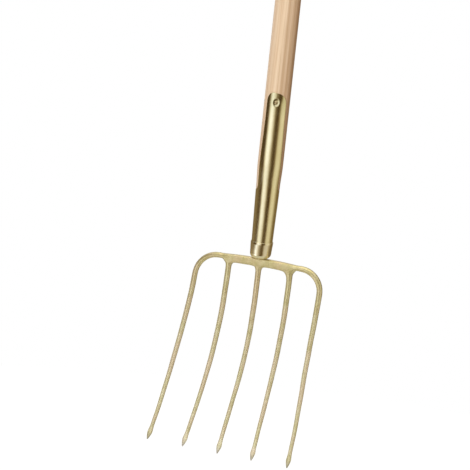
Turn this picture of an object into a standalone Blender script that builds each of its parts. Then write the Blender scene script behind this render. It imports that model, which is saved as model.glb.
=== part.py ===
"""A compost fork with five tines: an ash handle, a sprung strap ferrule, a collar cap and a forged head.

Lengths are in metres. Each piece is modelled in the head's own frame, whose origin is the middle of the
crossbar on the handle's axis: +Z runs up the handle, +X along the crossbar, and the hollow side of the
tines faces -Y. An empty then lowers the head so that the handle's free end is at the world's origin.
"""

import math

import bmesh
import bpy
from mathutils import Matrix, Vector

# Clearance between pieces that touch on the real fork
GAP = 0.0003

# Ash handle
HANDLE_LENGTH = 1.350
HANDLE_DIAMETER = 0.038
HANDLE_END_ROUND = 0.010
HANDLE_TAPER_LENGTH = 0.041
HANDLE_FOOT_CHAMFER = 0.0045
HANDLE_FOOT_CHAMFER_HEIGHT = 0.0055
HANDLE_SHOULDER_INSET = 0.0002
HANDLE_SHOULDER_RISE = 0.0005
HANDLE_RINGS = 3
HANDLE_BARE_COLUMNS = 34
SEAT_COLUMNS = 16
SEAT_CLEARANCE = 0.0006
SEAT_WALL = 0.0005

# Crossbar, a flat forged bar that reaches a little past the inner tines
BAR_OVERHANG = 0.0052
BAR_DEPTH = 0.012
BAR_HEIGHT = 0.0132
BAR_EDGE_ROUND = 0.0018

# Tang, the square spike on the crossbar that is driven up into the handle, and the round neck under it
NECK_SHARE_OF_BAR_DEPTH = 0.92
TANG_SHARE_OF_NECK = 0.68
TANG_WIDTH_HIGH = 0.004
TANG_LENGTH = 0.115

# Ferrule, one rolled steel sheet with a long strap
SHEET = 0.0015
FERRULE_DIAMETER_LOW = 0.0308
FERRULE_DIAMETER_HIGH = 0.0356
FERRULE_LENGTH = 0.0945
FERRULE_ABOVE_FOOT = 0.0077
SEAM_WIDTH = 0.0008
STRAP_LENGTH = 0.148
STRAP_WIDTH_HIGH = 0.0316
STRAP_WIDTH_LOW = 0.0356
STRAP_WIDEST_BELOW = 0.039
STRAP_NARROWS_OVER = 0.075
STRAP_RISE_LENGTH = 0.045
STRAP_RISE_STEPS = 6
STRAP_FILLET = 0.007
STRAP_END_LENGTH = 0.0165
STRAP_END_FLAT = 0.2
STRAP_SKEW = 0.18
STRAP_SKEW_OVER = 0.020
STRAP_TURN = math.radians(18.0)
STRAP_COLUMNS = 20
STRAP_ROWS = 6
STRAP_CORNER_STEPS = 5
FERRULE_SIDE_COLUMNS = 9
FERRULE_ROWS = 5

# Collar cap, a pressed thimble over the ferrule's lower end
CAP_WALL = 0.0009
CAP_FLOOR = 0.0016
CAP_HEIGHT = 0.0257
CAP_ROUND_SHARE = 0.515
CAP_SIDES = 40
CAP_ROUND_STEPS = 7

# Countersunk wood screw through the end of the strap
SCREW_BELOW_STRAP_TOP = 0.0140
SCREW_HEAD_DIAMETER = 0.0096
SCREW_HEAD_SINK = 0.0004
SCREW_SHANK_DIAMETER = 0.0040
SCREW_LENGTH = 0.016
SCREW_SLOT_WIDTH = 0.0011
SCREW_SLOT_DEPTH = 0.0009
SCREW_SIDES = 24

# Tines
TINE_DROP = 0.2744
TINE_DISH = 0.1015
TINE_DISH_POWER = 1.79
TINE_RADIUS_ROOT = 0.0043
TINE_RADIUS_LOW = 0.0031
TINE_SIDES = 12
TINE_STEPS = 22
ROOT_FLARE = 0.0005
ROOT_FLARE_LENGTH = 0.0050
ROOT_FLARE_RING = 0.35
POINT_LENGTH = 0.020
POINT_RINGS = (0.18, 0.34, 0.5, 0.75, 1.0)
POINT_WIDEST = 0.4
POINT_HALF_WIDTH = 0.0039
POINT_HALF_DEPTH = 0.0024
POINT_END = 0.0004

# The inner tines hang from the crossbar, and the outer ones turn down from its ends
INNER_ROOT = 0.0490
INNER_SPLAY = 0.0060
OUTER_SPACING = 0.0510
OUTER_SPLAY = 0.0124
OUTER_BEND_RADIUS = 0.0335
OUTER_ROOT_ABOVE = 0.0009
BEND_STEPS = 9

# Values worked out from the ones above
OUTER_ROOT = INNER_ROOT + OUTER_SPACING
BAR_LENGTH = 2 * (INNER_ROOT + BAR_OVERHANG)
BAR_TOP = BAR_HEIGHT / 2
NECK_DIAMETER = BAR_DEPTH * NECK_SHARE_OF_BAR_DEPTH
NECK_HOLE = NECK_DIAMETER / 2 + GAP
TANG_WIDTH_LOW = NECK_DIAMETER * TANG_SHARE_OF_NECK
CAP_BOTTOM = BAR_TOP + GAP
CAP_FLOOR_TOP = CAP_BOTTOM + CAP_FLOOR
CAP_RIM = CAP_BOTTOM + CAP_HEIGHT
TANG_LOW = CAP_FLOOR_TOP
HANDLE_FOOT = CAP_FLOOR_TOP + GAP
HANDLE_TOP = HANDLE_FOOT + HANDLE_LENGTH
HANDLE_RADIUS = HANDLE_DIAMETER / 2
FERRULE_LOW = HANDLE_FOOT + FERRULE_ABOVE_FOOT
FERRULE_HIGH = FERRULE_LOW + FERRULE_LENGTH
FERRULE_CONE = (FERRULE_DIAMETER_HIGH - FERRULE_DIAMETER_LOW) / 2 / FERRULE_LENGTH
SHOULDER_LOW = FERRULE_HIGH + GAP
SHOULDER_HIGH = SHOULDER_LOW + HANDLE_SHOULDER_RISE
SHOULDER_RADIUS = FERRULE_DIAMETER_HIGH / 2 - HANDLE_SHOULDER_INSET
SEAT_TOP = FERRULE_HIGH + STRAP_RISE_LENGTH
STRAP_TOP = FERRULE_HIGH + STRAP_LENGTH
STRAP_STRAIGHT_HIGH = STRAP_TOP - STRAP_END_LENGTH
SCREW_HEIGHT = STRAP_TOP - SCREW_BELOW_STRAP_TOP
CAP_INNER = FERRULE_DIAMETER_LOW / 2 + FERRULE_CONE * (CAP_RIM - FERRULE_LOW) + GAP
CAP_OUTER = CAP_INNER + CAP_WALL
CAP_ROUND = CAP_OUTER * CAP_ROUND_SHARE

# Each tine's place along the crossbar, how far its point splays, and its slight sideways set
TINES = {
    "tine_outer_left": (-OUTER_ROOT, -OUTER_SPLAY, -0.0027),
    "tine_inner_left": (-INNER_ROOT, -INNER_SPLAY, 0.0016),
    "tine_centre": (-0.0010, 0.0020, 0.0029),
    "tine_inner_right": (INNER_ROOT, INNER_SPLAY, 0.0012),
    "tine_outer_right": (OUTER_ROOT, OUTER_SPLAY, -0.0025),
}


def eased(share):
    """A smooth step from 0 to 1, flat at both ends."""
    share = min(1.0, max(0.0, share))
    return share * share * (3 - 2 * share)


def seat_radius(z):
    """Radius of the wood under the sheet: a cone in the ferrule, eased out to the full handle above it."""
    low = FERRULE_DIAMETER_LOW / 2 - SHEET - GAP
    high = FERRULE_DIAMETER_HIGH / 2 - SHEET - GAP
    if z <= FERRULE_HIGH:
        return low + (high - low) * (z - FERRULE_LOW) / FERRULE_LENGTH
    return high + (HANDLE_RADIUS - high) * eased((z - FERRULE_HIGH) / STRAP_RISE_LENGTH)


def shoulder_radius(z):
    """Radius of the bare wood above the ferrule, which starts nearly flush with the tube."""
    share = eased((z - FERRULE_HIGH) / HANDLE_TAPER_LENGTH)
    return SHOULDER_RADIUS + (HANDLE_RADIUS - SHOULDER_RADIUS) * share


def strap_direction():
    """Unit vector from the handle's axis to the middle of the strap."""
    return Vector((math.sin(STRAP_TURN), -math.cos(STRAP_TURN), 0.0))


def clear_scene():
    for thing in list(bpy.data.objects):
        bpy.data.objects.remove(thing)


def new_collection(name):
    collection = bpy.data.collections.new(name)
    bpy.context.scene.collection.children.link(collection)
    return collection


def material(name, colour, roughness, metallic):
    made = bpy.data.materials.new(name)
    made.use_nodes = True
    shader = made.node_tree.nodes["Principled BSDF"]
    shader.inputs["Base Color"].default_value = (*colour, 1.0)
    shader.inputs["Roughness"].default_value = roughness
    shader.inputs["Metallic"].default_value = metallic
    made.diffuse_color = (*colour, 1.0)
    return made


def mesh_object(name, shape, collection, head):
    """An object made from a bmesh, parented to the head's empty."""
    mesh = bpy.data.meshes.new(name)
    shape.to_mesh(mesh)
    shape.free()
    made = bpy.data.objects.new(name, mesh)
    collection.objects.link(made)
    made.parent = head
    return made


def smooth(thing, degrees=35.0):
    thing.data.shade_smooth()
    thing.data.set_sharp_from_angle(angle=math.radians(degrees))


def turned(name, profile, steps, collection, head, closed):
    """A turned piece: the profile, which runs down its outer side, with a Screw modifier."""
    shape = bmesh.new()
    points = [shape.verts.new((radius, 0.0, z)) for radius, z in profile]
    for start, end in zip(points, points[1:]):
        shape.edges.new((start, end))
    if closed:
        shape.edges.new((points[-1], points[0]))
    made = mesh_object(name, shape, collection, head)
    screw = made.modifiers.new("turn", "SCREW")
    screw.steps = steps
    screw.render_steps = steps
    screw.use_merge_vertices = True
    screw.merge_threshold = 0.00001
    screw.use_smooth_shade = True
    return made


def arc(centre, radius, start, end, steps):
    """Points of an arc in a turned profile, with angles in degrees from +X."""
    points = []
    for step in range(steps + 1):
        angle = math.radians(start + (end - start) * step / steps)
        points.append((centre[0] + radius * math.cos(angle), centre[1] + radius * math.sin(angle)))
    return points


def cut(thing, cutter, name):
    difference = thing.modifiers.new(name, "BOOLEAN")
    difference.operation = "DIFFERENCE"
    difference.object = cutter
    difference.solver = "EXACT"


def hide_cutter(cutter):
    cutter.hide_render = True
    cutter.display_type = "WIRE"


def cone_shape(shape, low_radius, high_radius, low, high, sides, turn=0.0):
    """Adds a cone between two heights to a bmesh."""
    place = Matrix.Translation((0.0, 0.0, (low + high) / 2)) @ Matrix.Rotation(turn, 4, "Z")
    bmesh.ops.create_cone(
        shape,
        cap_ends=True,
        segments=sides,
        radius1=low_radius,
        radius2=high_radius,
        depth=high - low,
        matrix=place,
    )


def screw_place():
    """Matrix that lays a piece modelled along +Z on the screw's axis, from the strap's surface."""
    outward = strap_direction()
    surface = seat_radius(SCREW_HEIGHT) + GAP + SHEET
    turn = outward.to_track_quat("Z", "Y").to_matrix().to_4x4()
    return Matrix.Translation(outward * surface + Vector((0.0, 0.0, SCREW_HEIGHT))) @ turn


def countersink(name, extra, cutters, head, above):
    """A countersunk head on its shank, grown by a clearance, as a turned shape on the screw's axis."""
    head_radius = SCREW_HEAD_DIAMETER / 2 + extra
    shank = SCREW_SHANK_DIAMETER / 2 + extra
    face = -SCREW_HEAD_SINK + above
    neck = -SCREW_HEAD_SINK - (SCREW_HEAD_DIAMETER - SCREW_SHANK_DIAMETER) / 2
    end = -SCREW_LENGTH - extra
    profile = [(0.0, face), (head_radius, face)]
    if above > 0:
        profile.append((head_radius, -SCREW_HEAD_SINK))
    profile += [(shank, neck), (shank, end + shank), (0.0, end)]
    made = turned(name, profile, SCREW_SIDES, cutters, head, closed=False)
    made.matrix_local = screw_place()
    return made


def handle_stations():
    """Down the handle: each ring's height, the radius of the bare wood and the radius under the strap."""
    corner = (HANDLE_RADIUS - HANDLE_END_ROUND, HANDLE_TOP - HANDLE_END_ROUND)
    stations = [(z, radius, radius) for radius, z in arc(corner, HANDLE_END_ROUND, 90, 0, 6)]
    # Rings down the straight part keep the long faces well shaped
    for step in range(HANDLE_RINGS, -1, -1):
        z = STRAP_TOP + (HANDLE_TOP - STRAP_TOP) * step / (HANDLE_RINGS + 1)
        stations.append((z, HANDLE_RADIUS, HANDLE_RADIUS))
    for z in reversed(strap_heights()):
        if SHOULDER_HIGH + GAP < z <= SEAT_TOP + GAP:
            stations.append((z, shoulder_radius(z), seat_radius(z)))
    stations.append((SHOULDER_HIGH, shoulder_radius(SHOULDER_HIGH), seat_radius(SHOULDER_HIGH)))
    stations.append((SHOULDER_LOW, seat_radius(SHOULDER_LOW), seat_radius(SHOULDER_LOW)))
    foot = seat_radius(FERRULE_LOW)
    stations.append((FERRULE_LOW, foot, foot))
    stations.append((HANDLE_FOOT + HANDLE_FOOT_CHAMFER_HEIGHT, foot, foot))
    stations.append((HANDLE_FOOT, foot - HANDLE_FOOT_CHAMFER, foot - HANDLE_FOOT_CHAMFER))
    return stations


def handle_ring(shape, z, bare, seat):
    """A ring round the handle, whose columns follow the sides of the shallow seat cut for the strap."""
    level = min(max(z, FERRULE_HIGH), SEAT_TOP)
    outer = seat_radius(level) + GAP + SHEET
    half = strap_half_angle(level) + SEAT_CLEARANCE / outer
    wall = half + SEAT_WALL / outer
    places = [(half * (-1 + 2 * column / SEAT_COLUMNS), seat) for column in range(SEAT_COLUMNS + 1)]
    rest = 2 * (math.pi - wall)
    for column in range(HANDLE_BARE_COLUMNS + 1):
        places.append((wall + rest * column / HANDLE_BARE_COLUMNS, bare))
    ring = []
    for angle, radius in places:
        turn = angle + STRAP_TURN
        ring.append(shape.verts.new((radius * math.sin(turn), -radius * math.cos(turn), z)))
    return ring


def loft(shape, rings):
    """Joins closed rings with faces, and closes both ends."""
    for upper, lower in zip(rings, rings[1:]):
        for side in range(len(upper)):
            other = (side + 1) % len(upper)
            shape.faces.new((upper[side], upper[other], lower[other], lower[side]))
    shape.faces.new(rings[0])
    shape.faces.new(rings[-1])
    bmesh.ops.recalc_face_normals(shape, faces=list(shape.faces))


def make_handle(parts, cutters, head):
    """The ash handle, bored for the tang and the screw. It is lofted for the seat cut for the strap."""
    shape = bmesh.new()
    loft(shape, [handle_ring(shape, *station) for station in handle_stations()])
    handle = mesh_object("handle", shape, parts, head)
    smooth(handle, 30.0)

    bore = bmesh.new()
    half_low = TANG_WIDTH_LOW / math.sqrt(2) + GAP * math.sqrt(2)
    half_high = TANG_WIDTH_HIGH / math.sqrt(2) + GAP * math.sqrt(2)
    cone_shape(bore, half_low, half_high, TANG_LOW, TANG_LOW + TANG_LENGTH + GAP, 4, math.radians(45))
    bore_cutter = mesh_object("tang_bore", bore, cutters, head)
    hide_cutter(bore_cutter)
    cut(handle, bore_cutter, "tang bore")

    pilot = countersink("screw_pilot", GAP, cutters, head, above=2 * SHEET)
    hide_cutter(pilot)
    cut(handle, pilot, "screw pilot")
    return handle


def remove_repeats(profile):
    """Drops a profile point that lies on the one before it."""
    kept = [profile[0]]
    for point in profile[1:]:
        if math.dist(point, kept[-1]) > 1e-6:
            kept.append(point)
    return kept


def make_crossbar(parts, cutters, head):
    """The forged bar with its round neck and square tang, as one solid."""
    bar = bmesh.new()
    bmesh.ops.create_cube(bar, size=1.0, matrix=Matrix.Diagonal((BAR_LENGTH, BAR_DEPTH, BAR_HEIGHT, 1.0)))
    bmesh.ops.bevel(
        bar,
        geom=list(bar.edges),
        offset=BAR_EDGE_ROUND,
        segments=3,
        profile=0.5,
        affect="EDGES",
    )
    crossbar = mesh_object("crossbar_with_tang", bar, parts, head)

    neck = bmesh.new()
    radius = NECK_DIAMETER / 2
    cone_shape(neck, radius, radius, 0.0, TANG_LOW, 32)
    neck_solid = mesh_object("neck", neck, cutters, head)
    tang = bmesh.new()
    half_low = TANG_WIDTH_LOW / math.sqrt(2)
    half_high = TANG_WIDTH_HIGH / math.sqrt(2)
    cone_shape(tang, half_low, half_high, 0.0, TANG_LOW + TANG_LENGTH, 4, math.radians(45))
    tang_solid = mesh_object("tang", tang, cutters, head)
    for solid in (neck_solid, tang_solid):
        hide_cutter(solid)
        join = crossbar.modifiers.new("join " + solid.name, "BOOLEAN")
        join.operation = "UNION"
        join.object = solid
        join.solver = "EXACT"
    return crossbar


def strap_half_angle(z):
    """Half of the angle that the strap covers at height z, with its fillet and its round end."""
    outer = seat_radius(z) + GAP + SHEET
    above = z - FERRULE_HIGH
    narrowing = eased((above - STRAP_WIDEST_BELOW) / STRAP_NARROWS_OVER)
    half = (STRAP_WIDTH_LOW + (STRAP_WIDTH_HIGH - STRAP_WIDTH_LOW) * narrowing) / 2
    if above < STRAP_FILLET:
        half += STRAP_FILLET - math.sqrt(STRAP_FILLET**2 - (STRAP_FILLET - above) ** 2)
    below_end = max(0.0, STRAP_TOP - z)
    if below_end < STRAP_END_LENGTH:
        round_share = math.sqrt(1 - (1 - below_end / STRAP_END_LENGTH) ** 2)
        half *= STRAP_END_FLAT + (1 - STRAP_END_FLAT) * round_share
    return half / outer


def make_ferrule(parts, cutters, head):
    """The rolled tube, open along a seam at the back, and its long strap, as a sheet with thickness."""
    root_angle = strap_half_angle(FERRULE_HIGH)
    seam_angle = math.pi - SEAM_WIDTH / FERRULE_DIAMETER_HIGH

    tube_angles = []
    for column in range(FERRULE_SIDE_COLUMNS):
        tube_angles.append(-seam_angle + (seam_angle - root_angle) * column / FERRULE_SIDE_COLUMNS)
    strap_shares = [-1 + 2 * column / STRAP_COLUMNS for column in range(STRAP_COLUMNS + 1)]
    tube_angles += [share * root_angle for share in strap_shares]
    for column in range(FERRULE_SIDE_COLUMNS):
        tube_angles.append(root_angle + (seam_angle - root_angle) * (column + 1) / FERRULE_SIDE_COLUMNS)

    def point(shape, angle, z):
        radius = seat_radius(z) + GAP
        turn = angle + STRAP_TURN
        skew = STRAP_SKEW * eased((z - STRAP_STRAIGHT_HIGH) / STRAP_SKEW_OVER + 1)
        height = z - skew * angle * (radius + SHEET)
        return shape.verts.new((radius * math.sin(turn), -radius * math.cos(turn), height))

    shape = bmesh.new()
    tube_rows = []
    for step in range(FERRULE_ROWS + 1):
        z = FERRULE_LOW + FERRULE_LENGTH * step / FERRULE_ROWS
        tube_rows.append([point(shape, angle, z) for angle in tube_angles])
    strap_rows = [tube_rows[-1][FERRULE_SIDE_COLUMNS : FERRULE_SIDE_COLUMNS + STRAP_COLUMNS + 1]]
    for z in strap_heights():
        half = strap_half_angle(z)
        strap_rows.append([point(shape, share * half, z) for share in strap_shares])
    for rows in (tube_rows, strap_rows):
        for lower, upper in zip(rows, rows[1:]):
            for left in range(len(lower) - 1):
                shape.faces.new((lower[left], lower[left + 1], upper[left + 1], upper[left]))
    ferrule = mesh_object("strap_ferrule", shape, parts, head)

    sheet = ferrule.modifiers.new("sheet", "SOLIDIFY")
    sheet.thickness = SHEET
    sheet.offset = 1.0
    sheet.use_even_offset = True
    hole = countersink("strap_hole", GAP, cutters, head, above=2 * SHEET)
    hide_cutter(hole)
    cut(ferrule, hole, "screw hole")
    return ferrule


def rise_heights():
    """Heights of the rings above the ferrule, where the strap rises to the full handle."""
    steps = range(1, STRAP_RISE_STEPS + 1)
    return [FERRULE_HIGH + STRAP_RISE_LENGTH * step / STRAP_RISE_STEPS for step in steps]


def strap_heights():
    """Heights of the strap's rows: on its fillet, up its rise, up the straight and round the end."""
    heights = []
    for step in range(1, STRAP_CORNER_STEPS + 1):
        angle = math.pi / 2 * step / STRAP_CORNER_STEPS
        heights.append(FERRULE_HIGH + STRAP_FILLET * (1 - math.cos(angle)))
    heights += [z for z in rise_heights() if z > FERRULE_HIGH + STRAP_FILLET + GAP]
    straight_low = heights[-1]
    for step in range(1, STRAP_ROWS + 1):
        heights.append(straight_low + (STRAP_STRAIGHT_HIGH - straight_low) * step / STRAP_ROWS)
    for step in range(1, STRAP_CORNER_STEPS + 1):
        angle = math.pi / 2 * step / STRAP_CORNER_STEPS
        heights.append(STRAP_STRAIGHT_HIGH + STRAP_END_LENGTH * math.sin(angle))
    return heights


def make_cap(parts, head):
    """The thimble that covers the ferrule's lower end, with a hole for the neck."""
    corner = (CAP_OUTER - CAP_ROUND, CAP_BOTTOM + CAP_ROUND)
    inner_round = CAP_ROUND - CAP_WALL
    inner_corner = (CAP_INNER - inner_round, CAP_FLOOR_TOP + inner_round)
    profile = [(CAP_INNER, CAP_RIM), (CAP_OUTER, CAP_RIM)]
    profile += arc(corner, CAP_ROUND, 0, -90, CAP_ROUND_STEPS)
    profile += [(NECK_HOLE, CAP_BOTTOM), (NECK_HOLE, CAP_FLOOR_TOP)]
    profile += arc(inner_corner, inner_round, -90, 0, CAP_ROUND_STEPS)
    return turned("collar_cap", remove_repeats(profile), CAP_SIDES, parts, head, closed=True)


def make_screw(parts, cutters, head):
    """The countersunk wood screw, with a slot across its head."""
    screw = countersink("strap_screw", 0.0, parts, head, above=0.0)
    slot = bmesh.new()
    bmesh.ops.create_cube(
        slot,
        size=1.0,
        matrix=Matrix.Diagonal((SCREW_HEAD_DIAMETER * 1.5, SCREW_SLOT_WIDTH, SCREW_SLOT_DEPTH * 2, 1.0)),
    )
    slot_cutter = mesh_object("screw_slot", slot, cutters, head)
    slot_cutter.matrix_local = screw_place() @ Matrix.Translation((0.0, 0.0, -SCREW_HEAD_SINK))
    hide_cutter(slot_cutter)
    cut(screw, slot_cutter, "slot")
    return screw


def tine_point(root, splay, bow, drop):
    """The tine's centreline at a distance below the crossbar's middle."""
    share = drop / TINE_DROP
    x = root + splay * share**2 + bow * math.sin(math.pi * share) ** 2
    return Vector((x, -TINE_DISH * share**TINE_DISH_POWER, -drop))


def tine_line(root, splay, bow):
    """Centreline points of one tine from its root at the crossbar to its point."""
    outer = abs(root) > BAR_LENGTH / 2
    line = []
    if outer:
        side = math.copysign(1.0, root)
        start = OUTER_BEND_RADIUS - OUTER_ROOT_ABOVE
        middle = tine_point(root, splay, bow, start).x - side * OUTER_BEND_RADIUS
        for length in (0.0, ROOT_FLARE_LENGTH * ROOT_FLARE_RING, ROOT_FLARE_LENGTH):
            line.append(Vector((side * (BAR_LENGTH / 2 + length), 0.0, OUTER_ROOT_ABOVE)))
        for step in range(BEND_STEPS):
            angle = math.pi / 2 * step / BEND_STEPS
            rise = OUTER_BEND_RADIUS * (1 - math.cos(angle))
            y = tine_point(root, splay, bow, max(0.0, rise - OUTER_ROOT_ABOVE)).y
            x = middle + side * OUTER_BEND_RADIUS * math.sin(angle)
            line.append(Vector((x, y, OUTER_ROOT_ABOVE - rise)))
    else:
        start = BAR_HEIGHT / 2
        line.append(tine_point(root, splay, bow, start))
        line.append(tine_point(root, splay, bow, start + ROOT_FLARE_LENGTH * ROOT_FLARE_RING))
        start += ROOT_FLARE_LENGTH
    straight_end = TINE_DROP - POINT_LENGTH
    for step in range(TINE_STEPS + 1):
        drop = start + (straight_end - start) * step / TINE_STEPS
        line.append(tine_point(root, splay, bow, drop))
    for share in POINT_RINGS:
        line.append(tine_point(root, splay, bow, straight_end + POINT_LENGTH * share))
    return line


def tine_sizes(line):
    """Half width and half depth at each point of a tine's centreline."""
    lengths = [0.0]
    for start, end in zip(line, line[1:]):
        lengths.append(lengths[-1] + (end - start).length)
    total = lengths[-1]
    point_start = lengths[-1 - len(POINT_RINGS)]
    sizes = []
    for length in lengths:
        radius = TINE_RADIUS_ROOT + (TINE_RADIUS_LOW - TINE_RADIUS_ROOT) * min(1.0, length / point_start)
        width = radius
        depth = radius
        if length < ROOT_FLARE_LENGTH:
            width += ROOT_FLARE * (1 - length / ROOT_FLARE_LENGTH) ** 2
        if length > point_start:
            share = (length - point_start) / (total - point_start)
            if share < POINT_WIDEST:
                width += (POINT_HALF_WIDTH - width) * share / POINT_WIDEST
                depth += (POINT_HALF_DEPTH - depth) * share / POINT_WIDEST
            else:
                fade = (share - POINT_WIDEST) / (1 - POINT_WIDEST)
                width = POINT_HALF_WIDTH + (POINT_END - POINT_HALF_WIDTH) * fade
                depth = POINT_HALF_DEPTH + (POINT_END - POINT_HALF_DEPTH) * fade
        sizes.append((width, depth))
    return sizes


def make_tine(name, values, parts, head):
    """A tine lofted from its flat root face to a flattened point, which no single tool shapes."""
    line = tine_line(*values)
    sizes = tine_sizes(line)
    shape = bmesh.new()
    rings = []
    for index, centre in enumerate(line):
        before = line[max(index - 1, 0)]
        after = line[min(index + 1, len(line) - 1)]
        along = (after - before).normalized()
        if index == 0:
            along = root_direction(values[0])
        depth_way = Vector((0.0, 1.0, 0.0))
        depth_way = (depth_way - along * depth_way.dot(along)).normalized()
        width_way = depth_way.cross(along)
        width, depth = sizes[index]
        ring = []
        for side in range(TINE_SIDES):
            angle = 2 * math.pi * side / TINE_SIDES
            offset = width_way * (width * math.cos(angle)) + depth_way * (depth * math.sin(angle))
            ring.append(shape.verts.new(centre + offset))
        rings.append(ring)
    loft(shape, rings)
    tine = mesh_object(name, shape, parts, head)
    smooth(tine, 40.0)
    return tine


def root_direction(root):
    """The way a tine leaves the crossbar: down from under it, or outward from its end."""
    if abs(root) > BAR_LENGTH / 2:
        return Vector((math.copysign(1.0, root), 0.0, 0.0))
    return Vector((0.0, 0.0, -1.0))


def build():
    clear_scene()
    parts = new_collection("compost_fork")
    cutters = new_collection("cutters")
    head = bpy.data.objects.new("head_frame", None)
    head.location = (0.0, 0.0, -HANDLE_TOP)
    parts.objects.link(head)

    ash = material("ash wood", (0.72, 0.53, 0.36), 0.55, 0.0)
    forged = material("lacquered forged steel", (0.58, 0.46, 0.24), 0.38, 1.0)
    plated = material("brass coloured plated sheet", (0.72, 0.60, 0.32), 0.18, 1.0)
    screw_steel = material("plated screw steel", (0.66, 0.56, 0.33), 0.30, 1.0)

    finished = [
        (make_handle(parts, cutters, head), ash),
        (make_ferrule(parts, cutters, head), plated),
        (make_cap(parts, head), plated),
        (make_screw(parts, cutters, head), screw_steel),
        (make_crossbar(parts, cutters, head), forged),
    ]
    for name, values in TINES.items():
        finished.append((make_tine(name, values, parts, head), forged))
    for thing, coat in finished:
        thing.data.materials.append(coat.copy())
    bpy.context.view_layer.update()


build()
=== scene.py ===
"""Looks of the compost fork: a forged head, a plated ferrule with strap and collar, and an ash handle.

Lengths are in metres. Shapes are worked out in the head's own frame, whose origin is the middle of the
crossbar on the handle's axis, with +Z up the handle and the hollow side of the tines facing -Y. HEAD is
that origin's height in the row frame.
"""

from math import copysign, cos, hypot, pi, radians, sin, sqrt, tan

import bmesh
import bpy
from mathutils import Matrix, Vector, noise

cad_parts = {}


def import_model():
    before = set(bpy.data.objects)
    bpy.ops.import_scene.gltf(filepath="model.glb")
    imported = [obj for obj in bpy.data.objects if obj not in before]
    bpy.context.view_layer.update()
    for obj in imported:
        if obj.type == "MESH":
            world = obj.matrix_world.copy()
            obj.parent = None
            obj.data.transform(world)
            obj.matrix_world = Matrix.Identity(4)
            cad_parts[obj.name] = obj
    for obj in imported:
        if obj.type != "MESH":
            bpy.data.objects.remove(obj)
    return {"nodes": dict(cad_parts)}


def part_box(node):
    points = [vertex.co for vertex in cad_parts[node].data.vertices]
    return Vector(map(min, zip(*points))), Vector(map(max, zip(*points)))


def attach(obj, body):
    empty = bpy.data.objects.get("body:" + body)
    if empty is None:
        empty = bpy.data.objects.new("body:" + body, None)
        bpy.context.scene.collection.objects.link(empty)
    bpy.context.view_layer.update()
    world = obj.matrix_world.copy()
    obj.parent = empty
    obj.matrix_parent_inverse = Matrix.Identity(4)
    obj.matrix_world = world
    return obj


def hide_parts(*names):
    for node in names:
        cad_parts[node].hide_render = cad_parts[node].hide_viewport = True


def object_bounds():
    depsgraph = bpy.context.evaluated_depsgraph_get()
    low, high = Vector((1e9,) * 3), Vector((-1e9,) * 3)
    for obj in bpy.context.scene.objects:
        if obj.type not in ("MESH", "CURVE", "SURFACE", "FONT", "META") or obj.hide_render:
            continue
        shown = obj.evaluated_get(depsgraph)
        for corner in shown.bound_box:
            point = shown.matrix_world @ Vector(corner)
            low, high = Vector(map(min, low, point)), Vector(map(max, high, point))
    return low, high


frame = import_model()
CAD_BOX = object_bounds()

# Crossbar
BAR_HEIGHT = 0.0126
BAR_END_HEIGHT = 0.0113
BAR_THINS_FROM = 0.030
BAR_DEPTH = 0.012
BAR_HALF_LENGTH = 0.0536
BAR_CORNER = 0.0019
BAR_LIFT = 0.0005
BAR_ARCH = 0.0011
BAR_TILT = 0.0006
BAR_STATIONS_BETWEEN = (0.3, 0.7)
NECK_RADIUS = 0.0054
NECK_HEIGHT = 0.0012
NECK_SUNK = 0.004
NECK_STEPS = 48
CAD_BAR_HEIGHT = 0.0132
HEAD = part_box("crossbar_with_tang")[0].z + CAD_BAR_HEIGHT / 2
HEAD_MIDDLE = Vector((0.0, 0.0, HEAD))

# Tines
TINE_DROP = 0.2742
TINE_DISH = 0.1012
TINE_DISH_POWER = 1.79
TINE_RADIUS_ROOT = 0.0043
TINE_RADIUS_LOW = 0.0029
TINE_TAPER_POWER = 1.4
TINE_DEPTH_SHARE = 0.97
BAR_END = 0.0531
ROD_START = 0.0584
ROD_STATIONS = (0.25, 0.70)
ROD_START_RADIUS = 0.0040
ROD_START_DEPTH = 0.0057
ROD_THINS_OVER = 6
ROD_DEEP_UNTIL = 2.5
ROOT_FILLET_SHARES = (0.08, 0.20, 0.38, 0.66, 1.05)
ROOT_EDGE = 0.0015
ROOT_FLUSH = 0.006
ROOT_CORNER = 0.0005
ROOT_CORNER_POINTS = (8, 10)
POINT_LENGTH = 0.020
# Down a tine's point: share of its length, and half the width and depth there
POINT_RINGS = (
    (0.10, 0.0030, 0.0028),
    (0.28, 0.0033, 0.0026),
    (0.45, 0.0039, 0.0023),
    (0.57, 0.0037, 0.0020),
    (0.74, 0.0027, 0.0015),
    (0.90, 0.0014, 0.0010),
    (1.00, 0.0006, 0.0006),
)
TINE_STEPS = 26
BEND_STEPS = 10
SLOPE_STEP = 0.001
HEAD_SMOOTHING = 2
# Each tine: its distance from the handle's axis at the top, how far it splays, its slight sideways bow
# and its slight S-shaped sway
INNER_TINES = (
    (-0.0487, -0.0061, 0.0016, 0.0),
    (-0.0010, 0.0020, 0.0029, 0.0004),
    (0.0491, 0.0058, 0.0012, 0.0006),
)
OUTER_TINES = (
    (-0.1002, -0.0114, -0.0027, 0.0006),
    (0.0998, 0.0116, -0.0025, -0.0006),
)
# Fillets on the left and the right of each inner tine
ROOT_FILLETS = ((0.0055, 0.0070), (0.0070, 0.0070), (0.0130, 0.0055))
# Each rod between the bar and an outer tine: its height, its radius and the radius of its bend
RODS = ((0.0004, 0.0041, 0.0350), (0.0016, 0.0044, 0.0323))

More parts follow.
